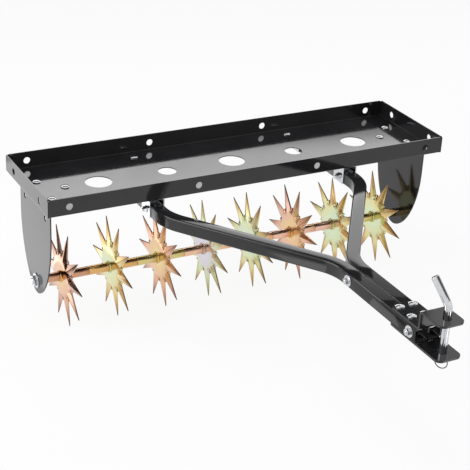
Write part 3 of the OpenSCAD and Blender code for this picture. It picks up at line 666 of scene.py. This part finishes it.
# %% [markdown]
# ## Every piece gets its finish
#
# CAD solids have knife-sharp edges, and real pressed or forged parts never do, so the ones
# that stay get a small bevel: it is what catches the light on the straps and on the flats
# of the nuts. The tray and the pin's wire ring go without one; the tray's folds are round
# already and its cut edges are crisp in the photograph. A CAD mesh is loose triangles, so
# its corners are merged before the bevel looks for sharp edges.

# %% Finishes and broken edges
enamel_nodes = {"tray", "end_plate_left", "end_plate_right", "hitch_top_strap", "hitch_bottom_strap"}
replaced_nodes = ("star_", "hub_tube", "drawbar_arm")
enamel_bevel = 0.3 * mm
zinc_bevel = 0.2 * mm
merge_distance = 0.005 * mm
sharp_angle = math.radians(40)


def dress(piece, material, bevel=0.0):
    """Gives a piece its finish, and breaks its sharp edges if it has a bevel."""
    piece.data.materials.clear()
    piece.data.materials.append(material)
    if bevel:
        weld = piece.modifiers.new("merge", "WELD")
        weld.merge_threshold = merge_distance
        edge = piece.modifiers.new("broken_edge", "BEVEL")
        edge.width = bevel
        edge.segments = 2
        edge.limit_method = "ANGLE"
        edge.angle_limit = sharp_angle
        edge.harden_normals = True


for piece in star_halves + hub_tubes:
    dress(piece, yellow)
for piece in arms:
    dress(piece, enamel)
for name, solid in nodes.items():
    if name in enamel_nodes:
        dress(solid, enamel, bevel=0 if name == "tray" else enamel_bevel)
    elif name == "pin_ring":
        dress(solid, wire)
    elif not name.startswith(replaced_nodes):
        dress(solid, zinc, bevel=zinc_bevel)
print("finishes on", len(star_halves + hub_tubes + arms), "new pieces and on the CAD solids that stay")

# %% [markdown]
# ## Studio
#
# A pale floor, a white surround and soft lamps, as in a product photograph. The floor
# glows white and the surround is plain white for the camera and for reflections, and both
# are weaker as lights on the machine.

# %% Floor and surround
floor_half = 6.0
floor_glow = 0.9
surround_light = 0.55


def four_corners(name, corners):
    """A flat piece with four corners, for the floor and for the cards."""
    mesh = bpy.data.meshes.new(name)
    mesh.from_pydata(corners, [], [(0, 1, 2, 3)])
    return placed(name, mesh)


def seen_directly(tree):
    """1 for camera, glossy and transmission rays, and 0 for the rest: their maximum."""
    path = tree.nodes.new("ShaderNodeLightPath")
    seen = path.outputs["Is Camera Ray"]
    for kind in ("Is Glossy Ray", "Is Transmission Ray"):
        either = tree.nodes.new("ShaderNodeMath")
        either.operation = "MAXIMUM"
        tree.links.new(seen, either.inputs[0])
        tree.links.new(path.outputs[kind], either.inputs[1])
        seen = either.outputs[0]
    return seen


def white_paper():
    """Pale paper, mixed with a white glow for the rays that see it directly."""
    material, tree, shader, where = new_material("white_floor")
    paper = patchy(tree, noise(tree, where, per_metre=3), dark=grey(0.88), pale=grey(0.92))
    tree.links.new(paper, shader.inputs["Base Color"])
    shader.inputs["Roughness"].default_value = 0.9
    glow = tree.nodes.new("ShaderNodeEmission")
    glow.inputs["Strength"].default_value = 1.0
    mix = tree.nodes.new("ShaderNodeMixShader")
    tree.links.new(spread(tree, seen_directly(tree), low=0.0, high=floor_glow), mix.inputs[0])
    tree.links.new(shader.outputs[0], mix.inputs[1])
    tree.links.new(glow.outputs[0], mix.inputs[2])
    tree.links.new(mix.outputs[0], tree.nodes["Material Output"].inputs["Surface"])
    return material


def floor():
    """A wide level sheet under the points of the stars."""
    near, far = -floor_half, floor_half
    sheet_of_paper = four_corners("floor", [(near, near, 0), (far, near, 0), (far, far, 0), (near, far, 0)])
    sheet_of_paper.data.materials.append(white_paper())


def surround():
    """White all round, at full strength for direct rays and weaker as a light."""
    world = bpy.data.worlds.new("surround")
    bpy.context.scene.world = world
    world.use_nodes = True
    tree = world.node_tree
    sky = tree.nodes["Background"]
    sky.inputs["Color"].default_value = (1, 1, 1, 1)
    strength = spread(tree, seen_directly(tree), low=surround_light, high=1.0)
    tree.links.new(strength, sky.inputs["Strength"])


floor()
surround()
print("floor", 2 * floor_half, "m wide, surround lights at", surround_light)

# %% [markdown]
# ## Dark cards
#
# In a white studio a polished part shows no form, so photographers stand dark cards where
# only the part can mirror them. The camera can't see these cards, and they cast no
# shadow. The back card draws the crescents on the bolt heads and the dark feet of the
# upper tines. The high card over it darkens the top of the drawbar, the arm's upper round
# corner and the bolt heads in the tray, and it ends short of what the hitch strap's
# tongue mirrors. The top card over the hitch darkens the drawbar's top by the strap bolts
# and the far sides of the tines, and draws the stripe on the pin's handle. All three draw
# the stripe along the tubes. Two grey cards lie on the floor: one tones down the left
# faces of the drawbar, and one in front draws the line down the middle of the hitch pin.

# %% Dark cards
card_wall_y = 2.0
card_lift = 3 * mm


def dark_card(name, corners, level):
    """A grey felt card that only reflections can see."""
    card = four_corners(name, corners)
    material, tree, shader, where = new_material(name)
    felt = patchy(tree, noise(tree, where, per_metre=30), dark=grey(level), pale=grey(level * 1.2))
    tree.links.new(felt, shader.inputs["Base Color"])
    shader.inputs["Roughness"].default_value = 1.0
    shader.inputs["Specular IOR Level"].default_value = 0.0
    card.data.materials.append(material)
    card.visible_camera = False
    card.visible_diffuse = False
    card.visible_shadow = False


def standing(left, right, low, high):
    """Corners of an upright rectangle behind the machine."""
    y = card_wall_y
    return [(left, y, low), (right, y, low), (right, y, high), (left, y, high)]


def lying(x, y, z, long, wide, turn):
    """Corners of a level rectangle whose long side points turn degrees from +X. Each is
    the middle plus half the sides, turned by the cosine and the sine."""
    c, s = math.cos(math.radians(turn)), math.sin(math.radians(turn))
    a, b = long / 2, wide / 2
    halves = [(-a, -b), (a, -b), (a, b), (-a, b)]
    return [(x + a * c - b * s, y + a * s + b * c, z) for a, b in halves]


dark_card("back_card", standing(left=-1.2, right=2.8, low=0, high=1.0), 0.012)
dark_card("high_card", standing(left=-1.2, right=1.95, low=1.75, high=3.3), 0.05)
dark_card("top_card", lying(0.65, -0.75, 1.2, long=1.9, wide=1.1, turn=0), 0.20)
dark_card("arm_card", lying(-0.80, -0.45, card_lift, long=0.60, wide=0.24, turn=-57), 0.25)
dark_card("pin_card", lying(-0.40, -0.90, card_lift, long=0.60, wide=0.18, turn=50), 0.30)
print("5 cards placed")

# %% [markdown]
# ## Lamps
#
# Black enamel is as pale as what it mirrors, so each pale face of the machine has its own
# soft lamp, of the size and at the place that the face mirrors to the camera. The tray's
# floor mirrors the back strip, and two weaker strips before it even the floor's tone out,
# at the left end and along the front edge. The arms' upper faces mirror the strip above
# it. Panels just over the studio's floor are mirrored by the left end plate, by the left
# bracket with the first stars, and by the two sides of the hitch pin. The two softboxes
# light what isn't a mirror.

# %% Lamps
strip_aim = (0.6, 0.2, 0.3)
panel_lift = 6 * mm


def soft_lamp(name, at, aim, size, watts):
    """A rectangular lamp at a place, turned to shine at another."""
    light = bpy.data.lights.new(name, "AREA")
    light.shape = "RECTANGLE"
    light.size, light.size_y = size
    light.energy = watts
    lamp = placed(name, light)
    lamp.location = at
    lamp.rotation_euler = (Vector(aim) - Vector(at)).to_track_quat("-Z", "Y").to_euler()
    return lamp


soft_lamp("left_softbox", at=(-2.6, 0.6, 1.6), aim=(0, 0.1, 0.2), size=(2.0, 1.6), watts=38)
for name, at, size, watts in (
    ("back_strip", (0.9, 1.95, 1.145), (3.2, 0.18), 3.2),
    ("left_end_strip", (-0.075, 1.94, 1.145), (1.25, 0.18), 0.14),
    ("arm_strip", (0.9, 1.95, 1.42), (3.2, 0.37), 3.9),
    ("front_edge_strip", (0.9, 1.94, 1.18), (3.2, 0.06), 0.32),
):
    soft_lamp(name, at, strip_aim, size, watts)
soft_lamp("top_softbox", at=(-0.6, -0.5, 2.6), aim=(0, 0, 0.2), size=(1.0, 1.0), watts=12)
for name, x, y, size, watts in (
    ("plate_panel", -0.755, 0.82, (0.39, 0.95), 0.74),
    ("fold_panel", -0.50, 0.83, (0.12, 0.34), 0.12),
    ("pin_left_panel", -0.56, -0.32, (0.26, 0.40), 0.40),
    ("pin_right_panel", 0.30, -1.00, (0.34, 0.34), 0.45),
):
    panel = soft_lamp(name, (x, y, panel_lift), (x, y, 1), size, watts)
    panel.visible_camera = False
print(len(bpy.data.lights), "lamps placed")

# %% [markdown]
# ## Camera
#
# The photograph was taken from the left, at the hitch end, with a long lens, and it leans
# a little. The place, turn and lens were fitted to the tray's corners and holes.

# %% Camera
camera_at = (-1.34870, -2.10218, 1.52684)
camera_turn = (63.6678, -2.9029, -27.9165)
camera_lens = 98.98
camera_shift = (-0.01796, 0.00853)

camera = bpy.data.cameras.new("camera")
camera.lens = camera_lens
camera.shift_x, camera.shift_y = camera_shift
eye = placed("camera", camera)
eye.location = camera_at
eye.rotation_euler = [math.radians(a) for a in camera_turn]
bpy.context.scene.camera = eye
bpy.context.scene.view_settings.view_transform = "Standard"
print("camera", round(Vector(camera_at).length, 2), "m from the middle, lens", camera_lens, "mm")
